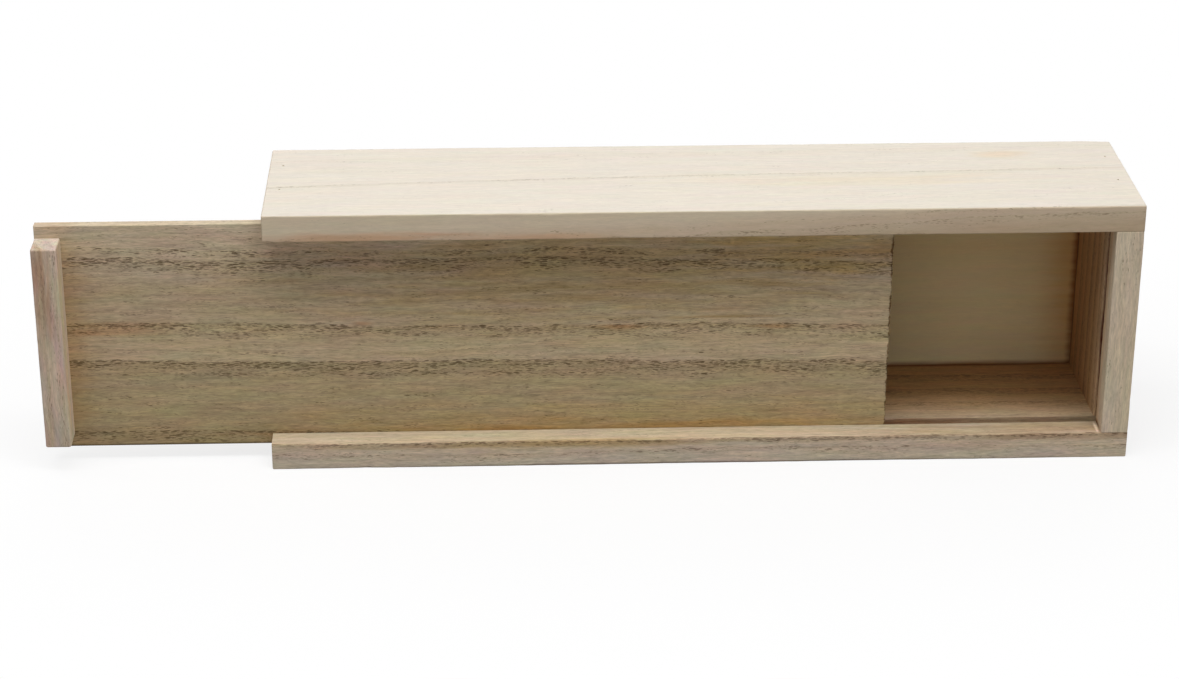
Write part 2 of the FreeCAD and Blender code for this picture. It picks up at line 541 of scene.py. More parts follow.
@dataclass(frozen=True)
class Paulownia:
    """Paulownia, planed and sanded and left bare.

    It is a pale, very light ring-porous wood with a dull silky face. Large open pores stand in rows along
    each growth-ring line and thin out into the ring, and on a face they show as fine brown dashes along
    the grain. Each ring has a shade of its own. Sawn ends drink in the light and look darker.

    bands are the wood's shades by place among the rings, with painted light and shade in them on some boards,
    and rings are the ring lines. drift and lean say how far the rings move across for each mm along the board
    and through it. surface is the coordinate through the board at which the rings' places hold. An amount or
    a contrast is a share from 0 to 1.
    """

    name: str
    grain: Axis
    across: Axis
    seed: float
    bands: tuple[tuple[float, str], ...]
    rings: tuple[Ring, ...]
    faces: tuple[Face, ...] = ()
    patches: tuple[Patch, ...] = ()
    drift: float = 0.0
    lean: float = 0.3
    surface: float = 0.0
    ring_tint: str = "b08a68"
    ring_amount: float = 0.35
    pore: str = "5a4630"
    pore_amount: float = 0.62
    pore_rest: float = 0.06
    fine_amount: float = 0.5
    fibre_contrast: float = 0.28
    mottling: float = 0.24
    warp: float = 1.3
    end_darkness: float = 0.22
    roughness: float = 0.74

    def material(self) -> bpy.types.Material:
        """Build the wood as a solid pattern on Object coordinates, in mm.

        Returns:
            The finished material.
        """
        material, tree = new_material(self.name)
        grain = self._grain_space(tree)
        place = self._ring_place(tree, grain)
        facings = self._facings(tree)
        ring = self._on_faces(tree, self._ring_density(tree, place), facings, [f.rings for f in self.faces])
        fibre, tone, mottle = self._fibres(tree, grain)
        coarse, fine = (self._on_faces(tree, mask, facings, [f.pores for f in self.faces])
                        for mask in self._pores(tree, grain, ring))
        colour = self._body_colour(tree, place, facings)
        colour = self._tinted(tree, colour, ring, self.ring_amount, self.ring_tint)
        colour = self._toned(tree, colour, mottle, fibre)
        colour = self._tinted(tree, colour, fine, self.fine_amount, self.pore)
        colour = self._tinted(tree, colour, coarse, self.pore_amount, self.pore)
        colour = self._darken_ends(tree, colour)
        colour = self._stains_and_painted_shading(tree, colour, grain)
        smoothest = self.roughness - WOOD_GLOSS_CHANGE / 2
        rough = node(tree, "Math", {0: tone, 1: WOOD_GLOSS_CHANGE, 2: smoothest}, operation="MULTIPLY_ADD")
        shader = node(tree, "BsdfPrincipled", {
            "Base Color": colour, "Roughness": rough.outputs[0],
            "Normal": self._relief(tree, coarse, fine, fibre),
            "IOR": WOOD_IOR, "Specular IOR Level": WOOD_SPECULAR})
        node(tree, "OutputMaterial", {"Surface": shader.outputs[0]})
        return material

    def _grain_space(self, tree: Tree) -> Socket:
        """Order the Object coordinates by the grain, and bend them as the grain bends.

        Args:
            tree: The material's tree.

        Returns:
            A point in mm along, across and through the grain.
        """
        coordinates = node(tree, "TexCoord").outputs["Object"]
        size = (1 / MM, 1 / MM, 1 / MM)
        millimetres = node(tree, "Mapping", {"Vector": coordinates, "Scale": size}).outputs[0]
        parts = node(tree, "SeparateXYZ", {0: millimetres}).outputs
        through = next(axis for axis in Axis if axis not in (self.grain, self.across))
        ordered = node(tree, "CombineXYZ", {
            0: parts[self.grain.value], 1: parts[self.across.value], 2: parts[through.value]}).outputs[0]
        bent = ordered
        for streak, amount in ((BOW, self.warp), (RIPPLE, self.warp * RIPPLE_SHARE), (WAVER, WAVER_REACH)):
            drawn = node(tree, "Mapping", {"Vector": ordered, **streak.mapping(self.seed)}).outputs[0]
            noise = node(tree, "TexNoise", {"Vector": drawn, "Scale": 1.0, "Detail": streak.detail})
            middle = node(tree, "VectorMath", {0: noise.outputs["Color"], 1: (0.5, 0.5, 0.5)},
                          operation="SUBTRACT").outputs[0]
            reach = (0, BEND_GAIN * amount, BEND_GAIN * amount)
            bent = node(tree, "VectorMath", {0: middle, 1: reach, 2: bent},
                        operation="MULTIPLY_ADD").outputs[0]
        return bent

    def _facings(self, tree: Tree) -> list[Socket]:
        """Find where the surface looks the way of each face with a colour of its own.

        Args:
            tree: The material's tree.

        Returns:
            For each such face, 1 on it and 0 elsewhere.
        """
        normal = node(tree, "TexCoord").outputs["Normal"]
        low, high = FACE_TURN
        found = []
        for face in self.faces:
            turn = node(tree, "VectorMath", {0: normal, 1: face.way}, operation="DOT_PRODUCT")
            found.append(node(tree, "MapRange", {
                0: turn.outputs["Value"], 1: low, 2: high, 3: 0.0, 4: 1.0}).outputs[0])
        return found

    def _on_faces(self, tree: Tree, value: Socket, facings: list[Socket], levels: list[float]) -> Socket:
        """Multiply a value by a level on each face with a colour of its own.

        Args:
            tree: The material's tree.
            value: What is multiplied.
            facings: Where each such face is.
            levels: Each such face's level.

        Returns:
            The value, changed on those faces alone.
        """
        for facing, level in zip(facings, levels):
            if level != 1.0:
                share = node(tree, "MapRange", {0: facing, 3: 1.0, 4: level}).outputs[0]
                value = node(tree, "Math", {0: value, 1: share}, operation="MULTIPLY").outputs[0]
        return value

    def _ring_place(self, tree: Tree, grain: Socket) -> Socket:
        """Work out where a point lies among the rings: across - drift * along + lean * through.

        Args:
            tree: The material's tree.
            grain: The point, in the grain's space.

        Returns:
            The place in mm. It is the coordinate across the board at its surface, where along is 0.
        """
        parts = node(tree, "SeparateXYZ", {0: grain}).outputs
        deep = node(tree, "Math", {0: parts[2], 1: self.surface}, operation="SUBTRACT").outputs[0]
        drifting = node(tree, "Math", {0: parts[0], 1: -self.drift, 2: parts[1]}, operation="MULTIPLY_ADD")
        leaning = node(tree, "Math", {0: deep, 1: self.lean, 2: drifting.outputs[0]},
                       operation="MULTIPLY_ADD")
        return leaning.outputs[0]

    def _ring_density(self, tree: Tree, place: Socket) -> Socket:
        """Work out how dense the rings' pores are.

        Args:
            tree: The material's tree.
            place: The place among the rings, in mm.

        Returns:
            A ring's strength at its line, falling to 0 over its fade on the lower side.
        """
        rings = sorted(self.rings, key=lambda r: r.at)
        margin = 1.0
        low = rings[0].at - rings[0].fade - margin
        span = rings[-1].at + 2 * margin - low
        share = node(tree, "MapRange", {0: place, 1: low, 2: low + span, 3: 0.0, 4: 1.0})
        stops = [(0.0, (0, 0, 0, 1))]
        for ring in rings:
            for back, level in RING_PROFILE + ((-RING_START / ring.fade, 0.0),):
                spot = (ring.at - ring.fade * back - low) / span
                spot = min(1, max(stops[-1][0] + CLOSEST_STOPS, spot))
                stops.append((spot, (level * ring.strength,) * 3 + (1,)))
        ramp = node(tree, "ValToRGB", {0: share.outputs[0]})
        set_stops(ramp.color_ramp, stops)
        return ramp.outputs[0]

    def _fibres(self, tree: Tree, grain: Socket) -> tuple[Socket, Socket, Socket]:
        """Build the fibres, and a slow mottling in bands about 5 mm wide.

        Args:
            tree: The material's tree.
            grain: The point, in the grain's space.

        Returns:
            The fibres' noise, and the mottling's as a value and as a colour.
        """
        found = []
        for streak in (FIBRE, FIBRE_BUNDLE, MOTTLE):
            drawn = node(tree, "Mapping", {"Vector": grain, **streak.mapping(self.seed)}).outputs[0]
            found.append(node(tree, "TexNoise", {
                "Vector": drawn, "Scale": 1.0, "Detail": streak.detail,
                "Roughness": FIBRE_ROUGHNESS}).outputs)
        fine, bundle, mottle = found
        fibre = node(tree, "Mix", {0: BUNDLE_SHARE, 2: fine[0], 3: bundle[0]}).outputs[0]
        return fibre, mottle[0], mottle["Color"]

    def _pores(self, tree: Tree, grain: Socket, ring: Socket) -> tuple[Socket, Socket]:
        """Build open pores: dashes round the middles of cells that are drawn out along the grain.

        A dash reaches a share of its cell that grows near a ring line and in a cluster, and that each
        cell's own luck makes less, so only some cells have one.

        Args:
            tree: The material's tree.
            grain: The point, in the grain's space.
            ring: How dense the rings' pores are.

        Returns:
            The coarse and the fine pores, 1 in a pore and 0 outside it.
        """
        drawn = node(tree, "Mapping", {"Vector": grain, **PORE_CLUSTER.mapping(self.seed)}).outputs[0]
        cluster = node(tree, "TexNoise", {
            "Vector": drawn, "Scale": 1.0, "Detail": PORE_CLUSTER.detail}).outputs[0]
        masks = []
        for streak, extra in ((COARSE_PORE, 0.0), (FINE_PORE, REACH_EXTRA_FINE)):
            drawn = node(tree, "Mapping", {"Vector": grain, **streak.mapping(self.seed)}).outputs[0]
            cells = node(tree, "TexVoronoi", {"Vector": drawn, "Scale": 1.0}, feature="F1").outputs
            luck = node(tree, "SeparateXYZ", {0: cells["Color"]}).outputs[0]
            reach = self.pore_rest + extra + REACH_BASE
            for cause, pull in ((ring, REACH_BY_RING), (cluster, REACH_BY_CLUSTER), (luck, REACH_BY_LUCK)):
                reach = node(tree, "Math", {0: cause, 1: pull, 2: reach}, operation="MULTIPLY_ADD").outputs[0]
            reach = node(tree, "Math", {0: reach, 1: REACH_MOST}, operation="MINIMUM").outputs[0]
            inner = node(tree, "Math", {0: reach, 1: PORE_SOFT_EDGE}, operation="SUBTRACT").outputs[0]
            masks.append(node(tree, "MapRange", {
                0: cells["Distance"], 1: reach, 2: inner, 3: 0.0, 4: 1.0}).outputs[0])
        return masks[0], masks[1]

    def _body_colour(self, tree: Tree, place: Socket, facings: list[Socket]) -> Socket:
        """Give each ring its shade, with any painted light and shade in the bands, and each face with a
        colour of its own that colour.

        Args:
            tree: The material's tree.
            place: The place among the rings, in mm.
            facings: Where each face with a colour of its own is.

        Returns:
            The bare wood's colour, with any painted light and shade in it.
        """
        low = self.bands[0][0]
        span = max(self.bands[-1][0] - low, 1)
        share = node(tree, "MapRange", {0: place, 1: low, 2: low + span, 3: 0.0, 4: 1.0})
        ramp = node(tree, "ValToRGB", {0: share.outputs[0]})
        set_stops(ramp.color_ramp, [((at - low) / span, linear(colour)) for at, colour in self.bands])
        colour = ramp.outputs[0]
        for face, facing in zip(self.faces, facings):
            colour = node(tree, "Mix", {0: facing, 6: colour, 7: linear(face.body)},
                          data_type="RGBA").outputs[2]
        return colour

    def _tinted(self, tree: Tree, colour: Socket, mask: Socket, amount: float, tint: str) -> Socket:
        """Turn a colour towards a tint.

        Args:
            tree: The material's tree.
            colour: The colour so far.
            mask: Where the tint goes, from 0 to 1.
            amount: How far the colour turns where the mask is 1.
            tint: The tint, as sRGB hex digits.

        Returns:
            The colour with its tint.
        """
        share = node(tree, "Math", {0: mask, 1: amount}, operation="MULTIPLY").outputs[0]
        return node(tree, "Mix", {0: share, 6: colour, 7: linear(tint)}, data_type="RGBA").outputs[2]

    def _toned(self, tree: Tree, colour: Socket, mottle: Socket, fibre: Socket) -> Socket:
        """Lighten and darken a colour by the mottling, in each channel, and by the fibres.

        Args:
            tree: The material's tree.
            colour: The colour so far.
            mottle: The mottling, as a colour about a middle grey.
            fibre: The fibres' noise.

        Returns:
            The colour with its tones.
        """
        swing = self.mottling
        mottle = node(tree, "VectorMath", {0: mottle, 1: (swing,) * 3, 2: (1 - swing / 2,) * 3},
                      operation="MULTIPLY_ADD").outputs[0]
        colour = node(tree, "VectorMath", {0: colour, 1: mottle}, operation="MULTIPLY").outputs[0]
        dark, light = FIBRE_RANGE
        level = node(tree, "MapRange", {
            0: fibre, 1: dark, 2: light, 3: 1 - self.fibre_contrast, 4: 1 + self.fibre_contrast}).outputs[0]
        return node(tree, "VectorMath", {0: colour, "Scale": level}, operation="SCALE").outputs[0]

    def _darken_ends(self, tree: Tree, colour: Socket) -> Socket:
        """Darken the sawn ends, by how far the surface looks along the grain.

        Args:
            tree: The material's tree.
            colour: The colour so far.

        Returns:
            The colour, darker on the ends.
        """
        normal = node(tree, "TexCoord").outputs["Normal"]
        along = tuple(float(axis is self.grain) for axis in Axis)
        turn = node(tree, "VectorMath", {0: normal, 1: along}, operation="DOT_PRODUCT").outputs["Value"]
        size = node(tree, "Math", {0: turn}, operation="ABSOLUTE").outputs[0]
        low, high = END_TURN
        end = node(tree, "MapRange", {0: size, 1: low, 2: high, 3: 0.0, 4: self.end_darkness}).outputs[0]
        return node(tree, "Mix", {0: end, 6: colour, 7: linear(self.pore)}, data_type="RGBA").outputs[2]

    def _stains_and_painted_shading(self, tree: Tree, colour: Socket, grain: Socket) -> Socket:
        """Tint the wood inside each patch, an ellipsoid with a soft edge drawn out along the fibres. Some
        patches are stains or paler places, and some paint shade in corners, in grooves and under edges, or
        paint reflected light.

        Args:
            tree: The material's tree.
            colour: The colour so far.
            grain: The point, in the grain's space.

        Returns:
            The colour with its stains and painted shading.
        """
        if not self.patches:
            return colour
        coordinates = node(tree, "TexCoord").outputs["Object"]
        drawn = node(tree, "Mapping", {"Vector": grain, **STAIN_AND_SHADING_EDGE.mapping(self.seed)}).outputs[0]
        noise = node(tree, "TexNoise", {
            "Vector": drawn, "Scale": 1.0, "Detail": STAIN_AND_SHADING_EDGE.detail}).outputs[0]
        for patch in self.patches:
            scale = [1 / (h * MM) for h in patch.half]
            shift = [-c / h for c, h in zip(patch.centre, patch.half)]
            local = node(tree, "Mapping", {"Vector": coordinates, "Scale": scale, "Location": shift})
            far = node(tree, "VectorMath", {0: local.outputs[0]}, operation="LENGTH").outputs["Value"]
            ragged = node(tree, "Math", {0: noise, 1: patch.broken, 2: far},
                          operation="MULTIPLY_ADD").outputs[0]
            rim = STAIN_AND_SHADING_RIM + patch.broken / 2
            amount = node(tree, "MapRange", {0: ragged, 1: rim, 2: rim - 1, 3: 0.0, 4: 1.0},
                          interpolation_type="SMOOTHSTEP").outputs[0]
            tint = tuple(c * patch.gain for c in linear(patch.tint)[:3]) + (1.0,)
            colour = node(tree, "Mix", {0: amount, 6: colour, 7: tint}, data_type="RGBA",
                          blend_type="MULTIPLY").outputs[2]
        return colour

    def _relief(self, tree: Tree, coarse: Socket, fine: Socket, fibre: Socket) -> Socket:
        """Sink the pores into the surface and raise the fibres.

        Args:
            tree: The material's tree.
            coarse: The coarse pores.
            fine: The fine pores.
            fibre: The fibres' noise.

        Returns:
            The bumped normal.
        """
        height = 0.0
        for mask, rise in ((coarse, COARSE_PORE_RISE), (fine, FINE_PORE_RISE), (fibre, FIBRE_RISE)):
            height = node(tree, "Math", {0: mask, 1: rise, 2: height}, operation="MULTIPLY_ADD").outputs[0]
        return node(tree, "Bump", {
            "Height": height, "Strength": RELIEF_STRENGTH, "Distance": RELIEF * MM}).outputs[0]


@dataclass(frozen=True)
class PinSteel:
    """Bright drawn steel wire, cut and headed cold: a grey metal with soft gloss that is a little uneven.

    Its colour, its gloss and its fine relief all change with one noise, whose cells are cell mm wide.
    """

    name: str = "steel_pin_drawn_bright"
    pale: str = "c9c8c4"
    dull: str = "a09c96"
    smoothest: float = 0.28
    roughest: float = 0.5
    cell: float = 1.0
    relief: float = 0.03
    relief_strength: float = 0.3

    def material(self) -> bpy.types.Material:
        """Build the steel.

        Returns:
            The finished material.
        """
        material, tree = new_material(self.name)
        coordinates = node(tree, "TexCoord").outputs["Object"]
        noise = node(tree, "TexNoise", {
            "Vector": coordinates, "Scale": 1 / (self.cell * MM), "Detail": 3.0}).outputs[0]
        colour = node(tree, "Mix", {0: noise, 6: linear(self.dull), 7: linear(self.pale)}, data_type="RGBA")
        rough = node(tree, "MapRange", {0: noise, 3: self.smoothest, 4: self.roughest})
        bump = node(tree, "Bump", {
            "Height": noise, "Strength": self.relief_strength, "Distance": self.relief * MM})
        shader = node(tree, "BsdfPrincipled", {
            "Base Color": colour.outputs[2], "Roughness": rough.outputs[0], "Metallic": 1.0,
            "Normal": bump.outputs[0]})
        node(tree, "OutputMaterial", {"Surface": shader.outputs[0]})
        return material


@dataclass
class Fasteners:
    """Headless pins at the corners and in the batten, and flat-headed brads through the bottom panel.

    Their solids stay, and the boards get bores that are slack wider. A bore's mouth starts rise above
    the wood. A pin's mouth flares by pin_flare, and a brad's head sits in a dent head_dent wide.
    """

    pin_radius: float = 0.325
    corner_pin_length: float = 20.0
    batten_pin_length: float = 12.0
    brad_radius: float = 0.55
    brad_length: float = 16.0
    head_radius: float = 1.1
    head_thickness: float = 0.6
    slack: float = 0.015
    rise: float = 1.0
    pin_flare: float = 1.1
    pin_flare_depth: float = 0.1
    head_dent: float = 1.7
    head_dent_depth: float = 0.12
    sides: int = 20

    def pin_outline(self, length: float) -> list[tuple[float, float]]:
        """Draw a pin's bore, flared a little at the mouth.

        Args:
            length: The bore's length.

        Returns:
            Radius and height above the wood of each ring, from outside the wood to the bore's end.
        """
        r = self.pin_radius + self.slack
        return [(r + self.pin_flare, self.rise), (r, -self.pin_flare_depth), (r, -length - self.slack)]

    def brad_outline(self) -> list[tuple[float, float]]:
        """Draw a brad's bore, with its head's seat and a shallow dent round it.

        Returns:
            Radius and height above the wood of each ring, from outside the wood to the bore's end.
        """
        head, shank = self.head_radius + self.slack, self.brad_radius + self.slack
        seat = self.head_thickness + self.slack
        return [(head + self.head_dent, self.rise), (head, -self.head_dent_depth), (head, -seat),
                (shank, -seat), (shank, -self.brad_length - self.slack)]

    def bores(self, name: str, outline: list[tuple[float, float]], mouths: list[Point],
              inward: Point) -> tuple[np.ndarray, Faces]:
        """Turn an outline round an axis at each mouth.

        A point at radius r and height h, at the angle t, is mouth - inward h + r (cos t side + sin t up),
        where side, up and inward stand square to each other.

        Args:
            name: What the bores are for.
            outline: Radius and height of each ring, from outside the wood to the bore's end.
            mouths: Where each bore meets the wood's face, in mm.
            inward: The unit direction into the wood.

        Returns:
            The points in mm and the faces.
        """
        into = np.array(inward, float)
        side = np.array((1.0, 0.0, 0.0))
        up = np.cross(into, side)
        turn = np.linspace(0, 2 * np.pi, self.sides, endpoint=False)
        circle = np.cos(turn)[:, None] * side + np.sin(turn)[:, None] * up
        radius, height = np.array(outline).T
        one = radius[:, None, None] * circle - height[:, None, None] * into
        points = np.array(mouths, float)[:, None, None] + one
        here = np.arange(points[..., 0].size).reshape(points.shape[:3])
        there = np.roll(here, -1, 2)
        quads = np.stack([here[:, :-1], there[:, :-1], there[:, 1:], here[:, 1:]], -1).reshape(-1, 4)
        caps = [ring[::-1].tolist() for ring in here[:, 0]] + [ring.tolist() for ring in here[:, -1]]
        log.info("%s: %d bores", name, len(mouths))
        return points.reshape(-1, 3), quads.tolist() + caps

    def cutter(self, name: str, sets: list[tuple[np.ndarray, Faces]]) -> bpy.types.Object:
        """Join sets of bores into one closed cutter whose faces point outwards.

        Args:
            name: The cutter's name.
            sets: Each set's points in mm and faces.

        Returns:
            The cutter's object.
        """
        points, faces, start = [], [], 0
        for some_points, some_faces in sets:
            points.append(some_points)
            faces += [[i + start for i in face] for face in some_faces]
            start += len(some_points)
        return make_object(name, np.vstack(points), faces)

    def dress(self) -> None:
        """Give the steel to the three groups of fasteners, whose solids stay as they are."""
        steel = PinSteel().material()
        for name in ("corner_pins", "bottom_brads", "batten_pins"):
            dress_in(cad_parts[name], steel)


@dataclass
class Case:
    """The box without its lid: two side walls, two end walls let in between them, and the bottom panel."""

    length: float = 316.0
    depth: float = 68.0
    width: float = 100.0
    wall: float = 10.0
    panel: float = 5.0
    rebate: float = 5.0
    lip: float = 10.0
    groove_width: float = 4.6
    groove_depth: float = 4.4
    outer_ease: float = 0.5
    lip_ease: float = 0.3
    mouth_ease: float = 0.14
    seam_ease: float = 0.1
    inner_ease: float = 0.3
    joint_ease: float = 0.2
    panel_ease: float = 0.3
    corner_pin_inset: float = 12.0
    side_brads: tuple[float, ...] = (-136.0, -136.0 / 3, 136.0 / 3, 136.0)
    end_brads: tuple[float, ...] = (34.0, 66.0)
    body: str = "box"
    pieces: dict[str, bpy.types.Object] = field(default_factory=dict)

    def side_corners(self) -> list[Corner]:
        """Draw the upper side wall's cross-section in Y and Z, with its lid groove and its rebate.

        Returns:
            Its ten corners, anticlockwise from the rim's inner edge.
        """
        rim, back = -self.depth / 2, self.depth / 2
        low, high = self.width - self.wall, self.width
        groove = rim + self.lip
        floor = low + self.groove_depth
        return [
            Corner(rim, low, self.lip_ease),
            Corner(groove, low, self.mouth_ease),
            Corner(groove, floor),
            Corner(groove + self.groove_width, floor),
            Corner(groove + self.groove_width, low, self.mouth_ease),
            Corner(back - self.panel, low, self.inner_ease),
            Corner(back - self.panel, low + self.rebate),
            Corner(back, low + self.rebate, self.seam_ease),
            Corner(back, high, self.outer_ease),
            Corner(rim, high, self.outer_ease)]

    def side_walls(self) -> list[Board]:
        """Draw the upper wall, and the lower one as its mirror image across the box's middle.

        Returns:
            The upper and the lower side wall.
        """
        half = self.length / 2
        corners = self.side_corners()
        upper = Board(
            "side_wall_upper", "upper_side_wall", "side_board", Axis.X, -half, half, tuple(corners),
            (7, 8, 9), self.outer_ease, seed=11, nicks=3,
            dents=(Dent(8, half, 1.1, 7), Dent(0, -half + 1, 0.5, 2.5), Dent(0, -half + 9, 0.35, 1.5)))
        flipped = [Corner(c.a, self.width - c.b, c.ease) for c in corners][::-1]
        lower = Board(
            "side_wall_lower", "lower_side_wall", "side_board", Axis.X, -half, half, tuple(flipped),
            (0, 1, 9), self.outer_ease, seed=12, nicks=3)
        return [upper, lower]

    def end_walls(self) -> list[Board]:
        """Draw the closed end, as deep as the rim and grooved for the lid, and the lower open end.

        Returns:
            The closed and the open end wall.
        """
        half, low, high = self.length / 2, self.wall, self.width - self.wall
        rim, inner_back = -self.depth / 2, self.depth / 2 - self.panel
        groove = rim + self.lip
        inner, floor = half - self.wall, half - self.wall + self.groove_depth
        closed_corners = (
            Corner(inner, rim, self.lip_ease),
            Corner(half, rim, self.outer_ease),
            Corner(half, inner_back, self.seam_ease),
            Corner(inner, inner_back, self.inner_ease),
            Corner(inner, groove + self.groove_width, self.mouth_ease),
            Corner(floor, groove + self.groove_width),
            Corner(floor, groove),
            Corner(inner, groove, self.mouth_ease))
        closed = Board(
            "end_wall_closed", "closed_end_wall", "end_board", Axis.Z, low, high, closed_corners,
            (0, 1, 3, 7), self.joint_ease, seed=13, nicks=2, step=0.7, dents=(
                Dent(7, 17, 0.5, 1.2), Dent(7, 31, 0.35, 2.5), Dent(7, 44, 0.45, 1.4), Dent(7, 57, 0.5, 2.2),
                Dent(7, 71, 0.4, 1.3), Dent(4, 13, 0.9, 2.4), Dent(4, 26, 0.5, 1.5), Dent(4, 38, 0.6, 3.0),
                Dent(4, 52, 0.5, 1.1), Dent(4, 63, 0.7, 2.0), Dent(4, 78, 0.5, 2.6), Dent(1, 89, 0.4, 2.0)))
        open_corners = (
            Corner(-half, groove + self.groove_width, self.lip_ease),
            Corner(-inner, groove + self.groove_width, self.lip_ease),
            Corner(-inner, inner_back),
            Corner(-half, inner_back, self.seam_ease))
        opened = Board(
            "end_wall_open", "open_end_wall", "end_board", Axis.Z, low, high, open_corners,
            (0, 1, 3), self.joint_ease, seed=14, nicks=1)
        return [closed, opened]

    def bottom(self) -> Board:
        """Draw the bottom panel, flush with the back of the box and with both ends.

        Returns:
            The bottom panel.
        """
        half, back = self.length / 2, self.depth / 2
        low, high = self.wall - self.rebate, self.width - self.wall + self.rebate
        corners = (
            Corner(back - self.panel, low),
            Corner(back, low, self.seam_ease),
            Corner(back, high, self.seam_ease),
            Corner(back - self.panel, high))
        return Board(
            "bottom_board", "bottom_panel", "bottom_board", Axis.X, -half, half, corners,
            (1,), self.panel_ease, seed=15, nicks=1)

    def cutter(self, fasteners: Fasteners) -> bpy.types.Object:
        """Make the bores of the corner pins and of the brads, as one cutter.

        Args:
            fasteners: The sizes of the pins and brads.

        Returns:
            The cutter's object.
        """
        middle = self.length / 2 - self.wall / 2
        front = -self.depth / 2 + self.lip + self.groove_width
        rows = (front + self.corner_pin_inset, self.depth / 2 - self.panel - self.corner_pin_inset)
        pin = fasteners.pin_outline(fasteners.corner_pin_length)
        spots = [(x, y) for x in (-middle, middle) for y in rows]
        seam = self.wall - self.rebate / 2
        heads = [(x, self.depth / 2, z) for x in self.side_brads for z in (seam, self.width - seam)]
        heads += [(x, self.depth / 2, z) for x in (-middle, middle) for z in self.end_brads]
        return fasteners.cutter("case_bores", [
            fasteners.bores("lower corner pins", pin, [(x, y, 0) for x, y in spots], (0, 0, 1)),
            fasteners.bores("upper corner pins", pin, [(x, y, self.width) for x, y in spots], (0, 0, -1)),
            fasteners.bores("bottom brads", fasteners.brad_outline(), heads, (0, -1, 0))])

    def build(self, fasteners: Fasteners) -> None:
        """Build the five boards with the fasteners' bores.

        Args:
            fasteners: The sizes of the pins and brads.
        """
        cutter = self.cutter(fasteners)
        for board in self.side_walls() + self.end_walls() + [self.bottom()]:
            self.pieces[board.name] = board.fit(cutter, self.body)
        bpy.data.objects.remove(cutter)

    def finishes(self) -> dict[str, Paulownia]:
        """Choose each board's own paulownia.

        Returns:
            The finish of each piece, by the piece's name.
        """
        return {
            "side_wall_upper": self.upper_side_wood(),
            "side_wall_lower": self.lower_side_wood(),
            "end_wall_closed": self.closed_end_wood(),
            "end_wall_open": self.open_end_wood(),
            "bottom_board": self.bottom_wood()}

    def upper_side_wood(self) -> Paulownia:
        """Choose the upper side wall's wood: very pale on its planed top, partly as painted light where the
        lamps fall on it, and browner on its front edge.

        Returns:
            The finish.
        """
        top = self.width
        return Paulownia(
            "paulownia_planed_upper_side", Axis.X, Axis.Y, seed=1.3,
            bands=((-44, "b9a388"), (-41, "c5b199"), (-38.5, "ccb79e"), (-35, "d2c2a9"), (29, "c9b291")),
            rings=(Ring(-40.4, 0.7, 3.0), Ring(-37.5, 0.4, 2), Ring(1, 0.75, 2.2), Ring(26, 0.2, 6)),
            # The top face's paler, greyer colour is partly painted light for the lit top.
            faces=(Face((0, 0, 1), "dad1c3"),),
            drift=0.03, lean=0.8, surface=top, ring_tint="b3a27f", ring_amount=0.3,
            pore="6a563c", pore_amount=0.3, pore_rest=-0.02, mottling=0.09, fibre_contrast=0.1,
            patches=(
                Patch((114, 21, top), (13, 6, 4), "fff7ea"),
                Patch((60, -4, top), (90, 8, 5), "fffcf4"),
                Patch((-125, -34, 91.5), (46, 4, 2.6), "fae5d9"),
                Patch((-60, -34, 91), (36, 4, 2), "fcebde")))

    def lower_side_wood(self) -> Paulownia:
        """Choose the lower side wall's wood: greyish at the lip, and browner inside the box, partly as
        painted shade.

        Returns:
            The finish.
        """
        return Paulownia(
            "paulownia_planed_lower_side", Axis.X, Axis.Y, seed=2.1,
            # The bands from -18 inwards are browner, partly painted shade for the inside of the box.
            bands=((-43, "c3b39d"), (-39, "c9baa4"), (-37, "cbb8a1"), (-34.5, "c7b49a"), (-32, "c7b497"),
                   (-25, "bbac92"), (-18, "ac9578"), (-6, "ad8c65"), (4, "ab8558"), (29, "b98d5f")),
            rings=(Ring(-37.4, 0.45, 2.4), Ring(-33.7, 1.0, 2.0), Ring(-6, 0.7, 7), Ring(7, 0.9, 9),
                   Ring(20, 0.8, 8)),
            faces=(Face((0, 0, -1), "cdb99e"), Face((0, 1, 0), "cab798"), Face((1, 0, 0), "cdbb9f"),
                   Face((-1, 0, 0), "cdbb9f")),
            lean=0.8, surface=self.wall, ring_tint="96704c", fibre_contrast=0.34,
            patches=(
                Patch((130, -29, 10), (80, 9, 6), "ece3d8"),
                Patch((-50, -34, 8.8), (75, 3, 2.4), "f2e6c8"),
                # Painted shade: a browner, darker band on the lid groove's back wall.
                Patch((0, -19.5, 8.4), (190, 1.3, 2.6), "c4946c", 1.0, 0.9),
                # Painted shadow: darkens the bottom front arris where it meets the floor.
                Patch((0, -34, -0.2), (190, 1.8, 1.3), "5e564c", 1.0, 0.5),
                # Painted shade: darkens the inner corner where the wall meets the bottom panel.
                Patch((110, 29, 10), (80, 2.6, 2.6), "b08a68", 1.0, 0.6),
                Patch((147.0, -29.4, 10), (0.8, 5.0, 3), "e4ecff", 2.8, 0.1)))

